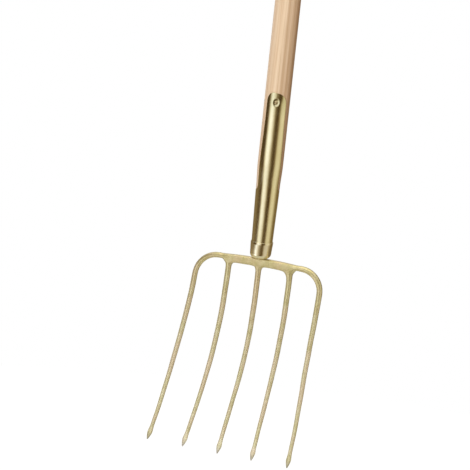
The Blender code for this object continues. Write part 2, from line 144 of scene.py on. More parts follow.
# Unevenness of the forging: seed, waves in each metre, and size in metres or as a share of the width
BAR_DEPTH_UNEVEN = (5, 60, 0.00018)
BAR_HEIGHT_UNEVEN = (6, 45, 0.0002)
TINE_WIDTH_UNEVEN = (0, 55, 0.05)
TINE_DEPTH_UNEVEN = (9, 55, 0.05)
TINE_SWAYS = ((4, 32, 0.0005), (7, 32, 0.0004))
SWAY_STARTS_OVER = 4
OUTER_TINE_SEED = 6
SEED_SPREAD = (3.7, 1.3)

# Ferrule, strap and collar cap
GAP = 0.0003
SHEET = 0.0015
FERRULE_LOW = 0.0165
FERRULE_HIGH = 0.1110
FERRULE_RADIUS_LOW = 0.0154
FERRULE_RADIUS_HIGH = 0.0178
SEAM_WIDTH = 0.0008
SHEET_EDGE_ROUND = 0.00025
SHEET_EDGE_ANGLE = radians(60)
STRAP_TOP = 0.2590
STRAP_WIDTH_HIGH = 0.0316
STRAP_WIDTH_LOW = 0.0356
STRAP_WIDEST = 0.150
STRAP_NARROWED = 0.225
STRAP_FILLET = 0.007
STRAP_END_LENGTH = 0.0165
STRAP_END_FLAT = 0.2
STRAP_SKEW = 0.18
STRAP_SKEW_OVER = 0.020
STRAP_TURN = radians(18.0)
STRAP_LIFT = 0.0006
STRAP_LIFT_HEIGHTS = (0.243, 0.256)
STRAP_LIFT_ACROSS = 0.011
CAP_BOTTOM = 0.0069
CAP_RIM = 0.0326
CAP_WALL = 0.0009
CAP_ROUND = 0.0078
CAP_TAPER = radians(3.5)
CAP_LEAN = 0.0005
CAP_RIM_ROUND = 0.00025
CAP_RIM_INSIDE = 0.004
CAP_HOLE = 0.0058
CAP_HOLE_ROUND = 0.0003
CAP_HOLE_EDGE = 0.0005
CAP_STEPS = 96
CAP_WALL_STEPS = 5

# Screw and the dish pressed round it
SCREW_HEIGHT = 0.2450
SCREW_SIDE = -0.0006
DISH_STRETCH = 1.25
DISH_RADIUS = 0.0051
DISH_FLOOR_RADIUS = 0.0022
DISH_SOFTNESS = 0.0004
DISH_MARGIN = 0.002
DISH_DEPTH = 0.0011
SCREW_HEAD_RADIUS = 0.0029
SCREW_LAST_LINE = 0.995
SCREW_DOME = 0.0008
SCREW_EDGE = 0.0003
SCREW_SLOT_WIDTH = 0.0009
SCREW_SLOT_DEPTH = 0.0007
SCREW_SLOT_TURN = radians(-8.0)
SCREW_BELOW = 0.0010

# Handle
HANDLE_RADIUS = 0.019
HANDLE_FOOT = 0.0088
SEAT_RISE_LENGTH = 0.045
SHOULDER_RADIUS = 0.0176
SHOULDER_RISE = 0.0005
SHOULDER_TAPER_LENGTH = 0.041
SEAT_CLEARANCE = 0.0005
SEAT_WALL = 0.0005
HANDLE_END_ROUND = 0.010
HANDLE_FOOT_CHAMFER = 0.0045
HANDLE_TOP = -HEAD


class Cage:
    """Points and faces of a mesh that is being built, in the head's frame."""

    def __init__(self):
        self.points = []
        self.faces = []

    def ring(self, points):
        """Adds points and returns their numbers."""
        first = len(self.points)
        self.points += [Vector(point) for point in points]
        return list(range(first, len(self.points)))

    def bridge(self, near, far, closed=True, gaps=()):
        """Adds the faces between two rings or open lines of points, apart from the gaps."""
        count = len(near)
        for place in range(count if closed else count - 1):
            if place not in gaps:
                after = (place + 1) % count
                self.faces.append((near[place], near[after], far[after], far[place]))

    def cover(self, rows, closed=True):
        """Adds the faces between rings or lines that follow each other."""
        for near, far in zip(rows, rows[1:]):
            self.bridge(near, far, closed)

    def grow(self, ring, points):
        """Adds a ring, and the faces up to it from the last one."""
        following = self.ring(points)
        self.bridge(ring, following)
        return following

    def cap(self, ring):
        """Closes a ring with one face."""
        self.faces.append(tuple(ring))


def put_in_scene(name, data):
    """An object in the scene for a mesh, a lamp or a camera."""
    made = bpy.data.objects.new(name, data)
    bpy.context.scene.collection.objects.link(made)
    return made


# Points that lie closer together than this are joined
SAME_POINT = 0.000001


def mesh_piece(name, cage, material, nodes, levels=0, sharp=None):
    """A riding piece from a cage: points that coincide are joined and faces turned outwards.

    Edges that turn by more than the sharp angle, in degrees, aren't shaded smooth.
    """
    mesh = bpy.data.meshes.new(name)
    mesh.from_pydata([point + HEAD_MIDDLE for point in cage.points], [], cage.faces)
    shape = bmesh.new()
    shape.from_mesh(mesh)
    loose = [point for point in shape.verts if not point.link_faces]
    bmesh.ops.delete(shape, geom=loose, context="VERTS")
    bmesh.ops.remove_doubles(shape, verts=list(shape.verts), dist=SAME_POINT)
    bmesh.ops.recalc_face_normals(shape, faces=list(shape.faces))
    shape.to_mesh(mesh)
    shape.free()
    mesh.shade_smooth()
    if sharp:
        mesh.set_sharp_from_angle(angle=radians(sharp))
    made = put_in_scene(name, mesh)
    mesh.materials.append(material)
    if levels:
        subdivision = made.modifiers.new("smooth", "SUBSURF")
        subdivision.levels = levels
        subdivision.render_levels = levels
    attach(made, "root")
    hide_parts(*nodes)
    return made


def wander(along, unevenness, more_seed=0):
    """A small smooth offset that gives a forged surface its slight unevenness."""
    seed, waves, size = unevenness
    across, deep = ((seed + more_seed) * spread for spread in SEED_SPREAD)
    return noise.noise(Vector((along * waves, across, deep))) * size


def ease(value, low, high):
    """Goes smoothly from 0 at the low value to 1 at the high one."""
    share = min(1.0, max(0.0, (value - low) / (high - low)))
    return share * share * (3 - 2 * share)


def spaced(low, high, steps, first=0):
    """Values at equal steps from low to high, starting at the first step that is wanted."""
    return [low + (high - low) * step / steps for step in range(first, steps + 1)]


def angles_round(steps):
    """The angles of equal steps round a circle."""
    return [2 * pi * step / steps for step in range(steps)]


# Forged head

# A section has twelve sides. Smoothing shrinks a round one, and ROUND_CAGE makes up for that.
SECTION_SIDES = 12
ROUND_CAGE = 6 / (4 + 2 * cos(2 * pi / SECTION_SIDES))
# Where a section's underside lies: its low front, middle and back points
UNDERSIDE = (8, 9, 10)


def bar_section():
    """Outline of the bar in Y and Z, twelve points from the back round over the top."""
    deep = BAR_DEPTH / 2
    high = BAR_HEIGHT / 2
    back = [(deep, high - BAR_CORNER), (deep - BAR_CORNER, high)]
    top = [*back, (0.0, high), *((-y, z) for y, z in reversed(back))]
    return [(deep, 0.0), *top, (-deep, 0.0), *((y, -z) for y, z in reversed(top))]


def bar_middle(x):
    """Height of the bar's middle, which is slightly arched and tilted."""
    share = x / BAR_HALF_LENGTH
    return BAR_LIFT + BAR_TILT * share - BAR_ARCH * share**2


def bar_thickness(x):
    """The bar's height at x as a share of its height in the middle."""
    return 1 + (BAR_END_HEIGHT / BAR_HEIGHT - 1) * ease(abs(x), BAR_THINS_FROM, BAR_HALF_LENGTH)


def bar_underside(x):
    """Height of the bar's underside at x."""
    return bar_middle(x) - bar_thickness(x) * BAR_HEIGHT / 2


def bar_ring(cage, x, rooted):
    """A ring across the bar, which steps down to the rod past the inner tines.

    Over a tine's root its lower corners are sharper, so that the tine grows flush from the bar's sides.
    """
    level = RODS[0 if x < 0 else 1][0]
    blend = ease(abs(x), BAR_END, ROD_START)
    uneven = wander(x, BAR_DEPTH_UNEVEN)
    points = []
    for step, (angle, (y, z)) in enumerate(zip(angles_round(SECTION_SIDES), bar_section())):
        if rooted and step in ROOT_CORNER_POINTS:
            y = copysign(BAR_DEPTH / 2 - ROOT_CORNER, y)
        deep = y + copysign(uneven, y)
        high = z * bar_thickness(x) + bar_middle(x) + wander(x + 2 * y, BAR_HEIGHT_UNEVEN)
        deep += (ROD_START_DEPTH * ROUND_CAGE * cos(angle) - deep) * blend
        high += (ROD_START_RADIUS * ROUND_CAGE * sin(angle) + level - high) * blend
        points.append((x, deep, high))
    return cage.ring(points)


def tine_point(values, drop):
    """A tine's centreline at a distance below the crossbar's middle."""
    root, splay, bow, sway = values
    share = drop / TINE_DROP
    x = root + splay * share**2 + bow * sin(pi * share) ** 2
    x += sway * sin(2 * pi * share)
    return Vector((x, -TINE_DISH * share**TINE_DISH_POWER, -drop))


def section(centre, along, width, depth, side=0.0):
    """Points round a tine. On a rod from the bar's end the first is at the back, not at the side."""
    back = Vector((0.0, 1.0, 0.0))
    back = (back - along * back.dot(along)).normalized()
    across = along.cross(back)
    if side:
        first, second = back * depth, across * side * width
    else:
        first, second = across * copysign(width, across.x), back * depth
    return [centre + first * cos(angle) + second * sin(angle) for angle in angles_round(SECTION_SIDES)]


def tine_radius(drop):
    """A tine's radius at a drop, down to where its point starts."""
    share = min(1.0, drop / (TINE_DROP - POINT_LENGTH))
    return TINE_RADIUS_ROOT + (TINE_RADIUS_LOW - TINE_RADIUS_ROOT) * share**TINE_TAPER_POWER


def tine_blade(cage, ring, values, start, seed, side=0.0, thicker=0.0):
    """The curved length of a tine from a given drop, and its flattened point."""
    straight_end = TINE_DROP - POINT_LENGTH
    for step, drop in enumerate(spaced(start, straight_end, TINE_STEPS, first=1), 1):
        radius = tine_radius(drop) + thicker * max(0.0, 1 - step / ROD_THINS_OVER)
        radius *= ROUND_CAGE
        width = radius * (1 + wander(drop, TINE_WIDTH_UNEVEN, seed))
        depth = radius * (TINE_DEPTH_SHARE + wander(drop, TINE_DEPTH_UNEVEN, seed))
        sideways, deep = (wander(drop, sway, seed) for sway in TINE_SWAYS)
        sway = Vector((sideways, deep, 0.0)) * min(1.0, step / SWAY_STARTS_OVER)
        ring = cage.grow(ring, section_at(values, drop, width, depth, side, sway))
    for share, width, depth in POINT_RINGS:
        drop = straight_end + POINT_LENGTH * share
        points = section_at(values, drop, width * ROUND_CAGE, depth * ROUND_CAGE, side)
        ring = cage.grow(ring, points)
    cage.cap(ring)


def section_at(values, drop, width, depth, side, sway=Vector((0.0, 0.0, 0.0))):
    """Points round a tine, square to its curve at a drop."""
    centre = tine_point(values, drop)
    along = tine_point(values, drop + SLOPE_STEP) - tine_point(values, drop - SLOPE_STEP)
    return section(centre + sway, along.normalized(), width, depth, side)


def root_stations(values, place):
    """Five stations along the bar over an inner tine's root, out to the ends of its fillets."""
    left, right = (TINE_RADIUS_ROOT + fillet for fillet in ROOT_FILLETS[place])
    x = values[0]
    stations = [x - left, x - left / 2, x, x + right / 2, x + right]
    if place == 0:
        stations[:2] = [-ROD_START, -BAR_END]
    if place == 2:
        stations[3:] = [BAR_END, ROD_START]
    return stations


def root_block(rings):
    """The twelve points on the bar's underside round a tine's root, in the order of a tine's ring."""
    front, middle, back = UNDERSIDE
    backs = [ring[back] for ring in reversed(rings)]
    fronts = [ring[front] for ring in rings]
    return [rings[-1][middle], *backs, rings[0][middle], *fronts]


def fillet_spread(share):
    """How much of its reach a round fillet still has at a share of its height."""
    return 1 - sqrt(max(0.0, 1 - (1 - min(1.0, share)) ** 2))


def inner_tine(cage, rings, values, place):
    """A tine that grows from the bar's underside, with a fillet on each side of its root."""
    stations = root_stations(values, place)
    ring = root_block(rings)
    base = -bar_underside(values[0])
    radius = TINE_RADIUS_ROOT * ROUND_CAGE
    reaches = (values[0] - stations[0] - TINE_RADIUS_ROOT, stations[-1] - values[0] - TINE_RADIUS_ROOT)
    longest = max(ROOT_FILLETS[place])
    for share in ROOT_FILLET_SHARES:
        drop = longest * share
        spreads = [fillet_spread(drop / fillet) for fillet in ROOT_FILLETS[place]]
        edge = ROOT_EDGE * (1 - ease(share, 0.0, ROOT_FILLET_SHARES[-1]))
        depth = radius * TINE_DEPTH_SHARE + edge
        centre = tine_point(values, base + drop)
        points = []
        for angle in angles_round(SECTION_SIDES):
            across = cos(angle)
            side = 1 if across > 0 else 0
            width = radius + reaches[side] * spreads[side] * abs(across)
            points.append(centre + Vector((width * across, depth * sin(angle), 0.0)))
        ring = cage.grow(ring, points)
    tine_blade(cage, ring, values, base + longest * ROOT_FILLET_SHARES[-1], place + 1)


def outer_tine(cage, ring, values, rod, side):
    """The rod that leaves the bar's end, bends down and becomes an outer tine."""
    level, thick, bend = rod
    radius = thick * ROUND_CAGE
    start = bend - level
    middle = tine_point(values, start).x - side * bend
    straight = side * middle - ROD_START
    deeper = ROD_START_DEPTH - thick
    for share in ROD_STATIONS:
        centre = Vector((side * (ROD_START + straight * share), 0.0, level))
        swell = (ROD_START_RADIUS + (thick - ROD_START_RADIUS) * share) * ROUND_CAGE
        depth = (thick + deeper * (1 - ease(share, 0.0, ROD_DEEP_UNTIL))) * ROUND_CAGE
        ring = cage.grow(ring, section(centre, Vector((side, 0.0, 0.0)), swell, depth, side))
    for step in range(BEND_STEPS + 1):
        angle = pi / 2 * step / BEND_STEPS
        rise = bend * (1 - cos(angle))
        y = tine_point(values, rise).y
        centre = Vector((middle + side * bend * sin(angle), y, level - rise))
        lean = (tine_point(values, rise + SLOPE_STEP).y - y) / SLOPE_STEP * sin(angle)
        along = Vector((side * cos(angle), lean, -sin(angle))).normalized()
        share = 1 + (ROD_DEEP_UNTIL - 1) * step / BEND_STEPS
        depth = radius + deeper * (1 - ease(share, 0.0, ROD_DEEP_UNTIL)) * ROUND_CAGE
        ring = cage.grow(ring, section(centre, along, radius, depth, side))
    more = thick - tine_radius(start)
    tine_blade(cage, ring, values, start, OUTER_TINE_SEED + side, side, thicker=more)


def bar_stations():
    """Along the bar: each ring's x, the tine whose root it is in, and if the root goes on after it."""
    blocks = [root_stations(values, place) for place, values in enumerate(INNER_TINES)]
    stations = []
    for place, block in enumerate(blocks):
        stations += [(x, place, x != block[-1]) for x in block]
        if place < len(blocks) - 1:
            gap = blocks[place + 1][0] - block[-1]
            stations += [(block[-1] + gap * share, None, False) for share in BAR_STATIONS_BETWEEN]
    return stations


def crossbar(cage, stations):
    """The bar's rings and the faces between them, with its underside left open over the roots."""
    rings = []
    for x, place, _ in stations:
        rooted = place is not None and abs(x - INNER_TINES[place][0]) < ROOT_FLUSH
        rings.append(bar_ring(cage, x, rooted))
    for near, far, (_, _, opened) in zip(rings, rings[1:], stations):
        cage.bridge(near, far, gaps=UNDERSIDE[:2] if opened else ())
    return rings


def forged_head(material):
    """Crossbar and tines as one cage: tines grow from the bar's underside, and rods from its ends."""
    cage = Cage()
    stations = bar_stations()
    rings = crossbar(cage, stations)
    for place, values in enumerate(INNER_TINES):
        block = [ring for ring, station in zip(rings, stations) if station[1] == place]
        inner_tine(cage, block, values, place)
    outer_tine(cage, rings[0], OUTER_TINES[0], RODS[0], -1)
    outer_tine(cage, rings[-1], OUTER_TINES[1], RODS[1], 1)
    nodes = ["crossbar_with_tang"] + [name for name in frame["nodes"] if name.startswith("tine_")]
    return mesh_piece("forged_head", cage, material, nodes, levels=HEAD_SMOOTHING)


def neck(material):
    """The short round neck that shows between the bar and the cap."""
    low = BAR_HEIGHT / 2 - NECK_SUNK
    high = BAR_HEIGHT / 2 + NECK_HEIGHT
    profile = ((0.0, low), (NECK_RADIUS, low), (NECK_RADIUS, high), (0.0, high))
    return mesh_piece("head_neck", lathe(profile, NECK_STEPS), material, [], sharp=40)


# Turned pieces


def lathe(profile, steps):
    """A turned cage about the handle's axis. Points on the axis close it."""
    cage = Cage()
    rings = []
    for radius, z in profile:
        angles = angles_round(steps if radius else 1)
        points = [(radius * cos(angle), radius * sin(angle), z) for angle in angles]
        rings.append(cage.ring(points))
    for near, far in zip(rings, rings[1:]):
        if len(near) == len(far) == steps:
            cage.bridge(near, far)
            continue
        tip, ring = (near[0], far) if len(near) == 1 else (far[0], near)
        for step in range(steps):
            cage.faces.append((tip, ring[step], ring[(step + 1) % steps]))
    return cage


def arc(centre, radius, start, end, steps):
    """Points of a profile on an arc between two angles in degrees."""
    across, up = centre
    angles = [radians(degrees) for degrees in spaced(start, end, steps)]
    return [(across + radius * cos(angle), up + radius * sin(angle)) for angle in angles]


def seat_radius(z):
    """Radius of the wood under the sheet: a cone in the ferrule, eased out to the full handle above it."""
    low = FERRULE_RADIUS_LOW - SHEET - GAP
    high = FERRULE_RADIUS_HIGH - SHEET - GAP
    if z <= FERRULE_HIGH:
        return low + (high - low) * (z - FERRULE_LOW) / (FERRULE_HIGH - FERRULE_LOW)
    return high + (HANDLE_RADIUS - high) * ease(z, FERRULE_HIGH, FERRULE_HIGH + SEAT_RISE_LENGTH)


def shoulder_radius(z):
    """Radius of the bare wood above the ferrule, which starts nearly flush with the tube."""
    share = ease(z, FERRULE_HIGH, FERRULE_HIGH + SHOULDER_TAPER_LENGTH)
    return SHOULDER_RADIUS + (HANDLE_RADIUS - SHOULDER_RADIUS) * share


def handle_stations():
    """Down the handle: each ring's height, the radius of the bare wood and the radius under the strap."""
    corner = (HANDLE_RADIUS - HANDLE_END_ROUND, HANDLE_TOP - HANDLE_END_ROUND)
    stations = [(z, radius, radius) for radius, z in arc(corner, HANDLE_END_ROUND, 90, 0, steps=12)]
    seat_top = FERRULE_HIGH + SEAT_RISE_LENGTH
    for z in spaced(corner[1], seat_top, steps=24, first=1)[:-1]:
        stations.append((z, HANDLE_RADIUS, HANDLE_RADIUS))
    shoulder = spaced(seat_top, FERRULE_HIGH + GAP + SHOULDER_RISE, steps=28)
    stations += [(z, shoulder_radius(z), seat_radius(z)) for z in shoulder]
    ferrule_top = seat_radius(FERRULE_HIGH + GAP)
    foot = seat_radius(FERRULE_LOW)
    end = foot - HANDLE_FOOT_CHAMFER
    lower = ((FERRULE_HIGH + GAP, ferrule_top), (FERRULE_LOW, foot), (HANDLE_FOOT, end))
    return stations + [(z, radius, radius) for z, radius in lower]


def handle_ring(cage, z, bare, seat):
    """A ring round the handle, whose columns follow the sides of the shallow seat cut for the strap."""
    level = min(max(z, FERRULE_HIGH), FERRULE_HIGH + SEAT_RISE_LENGTH)
    outer = seat_radius(level) + GAP + SHEET
    half = (strap_half_width(level) + SEAT_CLEARANCE) / outer
    wall = half + SEAT_WALL / outer
    places = [(angle, seat) for angle in spaced(-half, half, steps=32)]
    places += [(angle, bare) for angle in spaced(wall, 2 * pi - wall, steps=72)]
    turns = [(angle + STRAP_TURN, radius) for angle, radius in places]
    return cage.ring([(radius * sin(turn), -radius * cos(turn), z) for turn, radius in turns])


def ash_handle(material):
    """The whole handle, from its round free end down to its foot in the collar."""
    cage = Cage()
    rings = [handle_ring(cage, *station) for station in handle_stations()]
    cage.cover(rings)
    cage.cap(rings[0])
    cage.cap(rings[-1])
    return mesh_piece("ash_handle", cage, material, ["handle"], sharp=50)


def collar_cap(material):
    """The pressed cap, with a rolled rim and a round lower corner."""
    cone = (FERRULE_RADIUS_HIGH - FERRULE_RADIUS_LOW) / (FERRULE_HIGH - FERRULE_LOW)
    inner = FERRULE_RADIUS_LOW + cone * (CAP_RIM - FERRULE_LOW) + GAP
    outer = inner + CAP_WALL
    rim = CAP_RIM_ROUND
    profile = [(inner, CAP_RIM - CAP_RIM_INSIDE), (inner, CAP_RIM)]
    profile += arc((outer - rim, CAP_RIM - rim), rim, 90, 0, steps=5)
    corner_height = CAP_BOTTOM + CAP_ROUND
    low = outer - (CAP_RIM - corner_height) * tan(CAP_TAPER)
    wall = zip(spaced(outer, low, CAP_WALL_STEPS), spaced(CAP_RIM - rim, corner_height, CAP_WALL_STEPS))
    profile += list(wall)[1:-1]
    corner = (low - CAP_ROUND, corner_height)
    profile += arc(corner, CAP_ROUND, 0, -90, steps=18)
    profile.append((CAP_HOLE + CAP_HOLE_EDGE, CAP_BOTTOM))
    hole_corner = (CAP_HOLE + CAP_HOLE_ROUND, CAP_BOTTOM + CAP_HOLE_ROUND)
    profile += arc(hole_corner, CAP_HOLE_ROUND, -90, -180, steps=3)
    profile.append((CAP_HOLE, CAP_BOTTOM + CAP_WALL))
    profile += arc(corner, CAP_ROUND - CAP_WALL, -90, 0, steps=8)
    profile.append(profile[0])
    cage = lathe(profile, CAP_STEPS)
    for point in cage.points:
        point.x -= CAP_LEAN * (CAP_RIM - point.z) / (CAP_RIM - CAP_BOTTOM)
    return mesh_piece("pressed_collar_cap", cage, material, ["collar_cap"], sharp=60)


# Ferrule with its strap

SIDE_COLUMNS = 22
STRAP_COLUMNS = 72
# Columns across the strap from -1 to 1, closer together in its middle, where the dish is
STRAP_SHARES = [even * (0.5 + 0.5 * even * even) for even in spaced(-1, 1, STRAP_COLUMNS)]


def strap_half_width(z):
    """Half of the strap's width, with its fillet into the tube and its round end."""
    narrowing = ease(z, STRAP_WIDEST, STRAP_NARROWED)
    half = (STRAP_WIDTH_LOW + (STRAP_WIDTH_HIGH - STRAP_WIDTH_LOW) * narrowing) / 2
    above = z - FERRULE_HIGH
    if above < STRAP_FILLET:
        half += STRAP_FILLET - sqrt(max(0.0, STRAP_FILLET**2 - (STRAP_FILLET - above) ** 2))
    below_end = max(0.0, STRAP_TOP - z)
    if below_end < STRAP_END_LENGTH:
        round_share = sqrt(1 - (1 - below_end / STRAP_END_LENGTH) ** 2)
        half *= STRAP_END_FLAT + (1 - STRAP_END_FLAT) * round_share
    return half


def skewed(arc_length, z):
    """The height of a point on the strap, whose end is cut a little askew."""
    straight_high = STRAP_TOP - STRAP_END_LENGTH
    return z - STRAP_SKEW * arc_length * ease(z, straight_high - STRAP_SKEW_OVER, straight_high)


def soft_floor(value):
    """The value where it is positive and nothing where it is negative, with a soft knee between."""
    return (value + hypot(value, DISH_SOFTNESS)) / 2


def dish(across, z):
    """Depth of the conical dish pressed into the strap round its screw."""
    distance = hypot(across - SCREW_SIDE, (z - SCREW_HEIGHT) / DISH_STRETCH)
    slope = DISH_DEPTH / (DISH_RADIUS - DISH_FLOOR_RADIUS)
    return slope * (soft_floor(DISH_RADIUS - distance) - soft_floor(DISH_FLOOR_RADIUS - distance))


def sheet_point(arc_length, z):
    """A point on the sheet's outer face, at a distance round it from the strap's middle."""
    radius = seat_radius(z) + GAP + SHEET
    angle = arc_length / radius + STRAP_TURN
    height = skewed(arc_length, z)
    radius -= dish(arc_length, height)
    lift = ease(arc_length, 0.0, STRAP_LIFT_ACROSS) * ease(z, *STRAP_LIFT_HEIGHTS)
    radius += STRAP_LIFT * lift
    return (radius * sin(angle), -radius * cos(angle), height)


def tube_row(cage, z):
    """A row round the tube, from one side of the seam over the strap's root to the other side."""
    radius = seat_radius(z) + GAP + SHEET
    half = pi * radius - SEAM_WIDTH / 2
    root = strap_half_width(FERRULE_HIGH) * radius / FERRULE_RADIUS_HIGH
    lengths = spaced(-half, -root, SIDE_COLUMNS)[:-1]
    lengths += [share * root for share in STRAP_SHARES]
    lengths += spaced(root, half, SIDE_COLUMNS, first=1)
    return cage.ring([sheet_point(length, z) for length in lengths])


def strap_ferrule(material):
    """One sheet: the outer face of the tube and its strap, thickened inwards, with its edges rounded."""
    cage = Cage()
    tube = [tube_row(cage, z) for z in spaced(FERRULE_LOW, FERRULE_HIGH, steps=40)]
    strap = [tube[-1][SIDE_COLUMNS : SIDE_COLUMNS + STRAP_COLUMNS + 1]]
    for z in strap_heights():
        half = strap_half_width(z)
        strap.append(cage.ring([sheet_point(share * half, z) for share in STRAP_SHARES]))
    cage.cover(tube, closed=False)
    cage.cover(strap, closed=False)
    made = mesh_piece("ferrule_with_strap", cage, material, ["strap_ferrule"])
    turn_outward(made)
    sheet = made.modifiers.new("sheet", "SOLIDIFY")
    sheet.thickness = SHEET
    sheet.offset = -1.0
    sheet.use_even_offset = True
    edges = made.modifiers.new("edges", "BEVEL")
    edges.width = SHEET_EDGE_ROUND
    edges.segments = 2
    edges.limit_method = "ANGLE"
    edges.angle_limit = SHEET_EDGE_ANGLE
    joined = made.modifiers.new("joined", "WELD")
    joined.merge_threshold = SAME_POINT
    return made


def turn_outward(piece):
    """Flips an open sheet whose faces look at the handle's axis."""
    mesh = piece.data
    face = mesh.polygons[0]
    if face.normal.dot(Vector((face.center.x, face.center.y, 0.0))) < 0:
        mesh.flip_normals()


def strap_heights():
    """Heights of the strap's rows: close together on its fillet, in the dish and at its round end."""
    angles = spaced(0.0, pi / 2, steps=10, first=1)
    heights = [FERRULE_HIGH + STRAP_FILLET * (1 - cos(angle)) for angle in angles]
    dish_reach = DISH_STRETCH * DISH_RADIUS + DISH_MARGIN
    dish_low = SCREW_HEIGHT - dish_reach
    dish_high = SCREW_HEIGHT + dish_reach
    heights += spaced(heights[-1], dish_low, steps=44, first=1)
    heights += spaced(dish_low, dish_high, steps=48, first=1)
    angles = spaced(0.0, pi / 2, steps=12, first=1)
    heights += [dish_high + (STRAP_TOP - dish_high) * sin(angle) for angle in angles]
    return heights


def screw_top(cage):
    """Lines of points over the domed head, side by side, two of them down in the slot."""
    half_slot = SCREW_SLOT_WIDTH / 2
    offsets = spaced(half_slot, SCREW_HEAD_RADIUS * SCREW_LAST_LINE, steps=10)
    lines = [(-offset, 0.0) for offset in reversed(offsets)]
    lines += [(-half_slot, SCREW_SLOT_DEPTH), (half_slot, SCREW_SLOT_DEPTH)]
    lines += [(offset, 0.0) for offset in offsets]
    top = []
    for across, sunk in lines:
        reach = sqrt(SCREW_HEAD_RADIUS**2 - across**2)
        points = []
        for along in spaced(-reach, reach, steps=24):
            dome = SCREW_DOME * (1 - (across**2 + along**2) / SCREW_HEAD_RADIUS**2)
            points.append((along, across, SCREW_EDGE + dome - sunk))
        top.append(cage.ring(points))
    return top


def screw_place():
    """Where the screw stands: square on the dish's floor, its slot turned a little."""
    turn = STRAP_TURN + SCREW_SIDE / HANDLE_RADIUS
    outward = Vector((sin(turn), -cos(turn), 0.0))
    floor_radius = seat_radius(SCREW_HEIGHT) + GAP + SHEET - DISH_DEPTH
    upright = outward.to_track_quat("Z", "Y").to_matrix().to_4x4()
    place = Matrix.Translation(outward * floor_radius + Vector((0.0, 0.0, SCREW_HEIGHT))) @ upright
    return place @ Matrix.Rotation(SCREW_SLOT_TURN, 4, "Z")


def strap_screw(material):
    """The screw's domed head at the bottom of the dish, with a straight slot across it."""
    cage = Cage()
    top = screw_top(cage)
    cage.cover(top, closed=False)
    rim = [line[-1] for line in top] + top[-1][-2:0:-1]
    rim += [line[0] for line in reversed(top)] + top[0][1:-1]
    skirt = cage.ring([(cage.points[number].x, cage.points[number].y, -SCREW_BELOW) for number in rim])
    cage.bridge(rim, skirt)
    cage.cap(skirt)
    place = screw_place()
    cage.points = [place @ point for point in cage.points]
    return mesh_piece("strap_screw_head", cage, material, ["strap_screw"], sharp=40)


# Materials

WHITE = (1.0, 1.0, 1.0)
# A colour mix's sockets: its share, its two colours and its result
MIX_SOCKETS = (0, 6, 7)
MIX_RESULT = 2
# Most of a noise's values lie in this range
NOISE_RANGE = (0.3, 0.7)


class Recipe:
    """The node tree of a material or a world, with helpers that keep its building short."""

    def __init__(self, owner):
        owner.use_nodes = True
        self.nodes = owner.node_tree.nodes
        self.links = owner.node_tree.links

    def give(self, socket, value):
        """Links a socket to another one, or sets it to a constant."""
        if isinstance(value, bpy.types.NodeSocket):
            self.links.new(value, socket)
        elif socket.type == "RGBA":
            socket.default_value = (*value, 1.0)
        else:
            socket.default_value = value

    def node(self, kind, inputs=None):
        """A new node, with what its sockets are given, by name or number."""
        made = self.nodes.new("ShaderNode" + kind)
        for socket, value in (inputs or {}).items():
            self.give(made.inputs[socket], value)
        return made

    def calculate(self, operation, *values, kind="Math"):
        """The result of a math node."""
        made = self.node(kind, dict(enumerate(values)))
        made.operation = operation
        return made.outputs["Value"]

    def mix(self, share, first, second, blend="MIX"):
        """Two colours blended, with a share from 0 to 1 for the second one."""
        made = self.node("Mix")
        made.data_type = "RGBA"
        made.blend_type = blend
        for socket, value in zip(MIX_SOCKETS, (share, first, second)):
            self.give(made.inputs[socket], value)
        return made.outputs[MIX_RESULT]

    def surface(self, shader):
        """Makes a shader the material's surface."""
        self.give(self.nodes["Material Output"].inputs["Surface"], shader)

    def seen_directly(self):
        """1 where the camera, or a mirror or glass, looks at the surface."""
        path = self.node("LightPath").outputs
        seen = self.calculate("MAXIMUM", path["Is Camera Ray"], path["Is Glossy Ray"])
        return self.calculate("MAXIMUM", seen, path["Is Transmission Ray"])


class Look(Recipe):
    """A material whose patterns lie on the object's own coordinates."""

    def __init__(self, name):
        self.material = bpy.data.materials.new(name)
        super().__init__(self.material)
        self.shader = self.nodes["Principled BSDF"].inputs
        self.place = self.node("TexCoord").outputs["Object"]

    def noise(self, across, along, detail=4.0, roughness=0.55, distortion=0.0):
        """Noise with one scale across the object and another along its height."""
        mapping = self.node("Mapping", {"Vector": self.place, "Scale": (across, across, along)})
        settings = {"Scale": 1.0, "Detail": detail, "Roughness": roughness, "Distortion": distortion}
        settings["Vector"] = mapping.outputs["Vector"]
        return self.node("TexNoise", settings).outputs["Fac"]

    def ramp(self, value, stops):
        """The colour for a value, from stops with a place and a colour each."""
        made = self.node("ValToRGB", {"Fac": value})
        while len(made.color_ramp.elements) < len(stops):
            made.color_ramp.elements.new(0.5)
        for element, (place, colour) in zip(made.color_ramp.elements, stops):
            element.position = place
            element.color = (*colour, 1.0)
        return made.outputs["Color"]

    def span(self, value, low, high, new_low=0.0, new_high=1.0):
        """A value's range stretched to a new one, and held at its ends."""
        limits = {"From Min": low, "From Max": high, "To Min": new_low, "To Max": new_high}
        return self.node("MapRange", {"Value": value, **limits}).outputs["Result"]

    def part(self, axis):
        """One of the object's own coordinates."""
        return self.node("SeparateXYZ", {"Vector": self.place}).outputs[axis]

    def finish(self, colour, roughness, metallic):
        """Sets how the surface looks."""
        self.give(self.shader["Base Color"], colour)
        self.give(self.shader["Roughness"], roughness)
        self.give(self.shader["Metallic"], metallic)

    def bump(self, value, distance, strength, under=None):
        """Makes a pattern stand out of the surface, if wanted on top of a coarser one."""
        made = self.node("Bump", {"Height": value, "Distance": distance, "Strength": strength})
        if under:
            self.give(made.inputs["Normal"], under)
        self.give(self.shader["Normal"], made.outputs["Normal"])
        return made.outputs["Normal"]


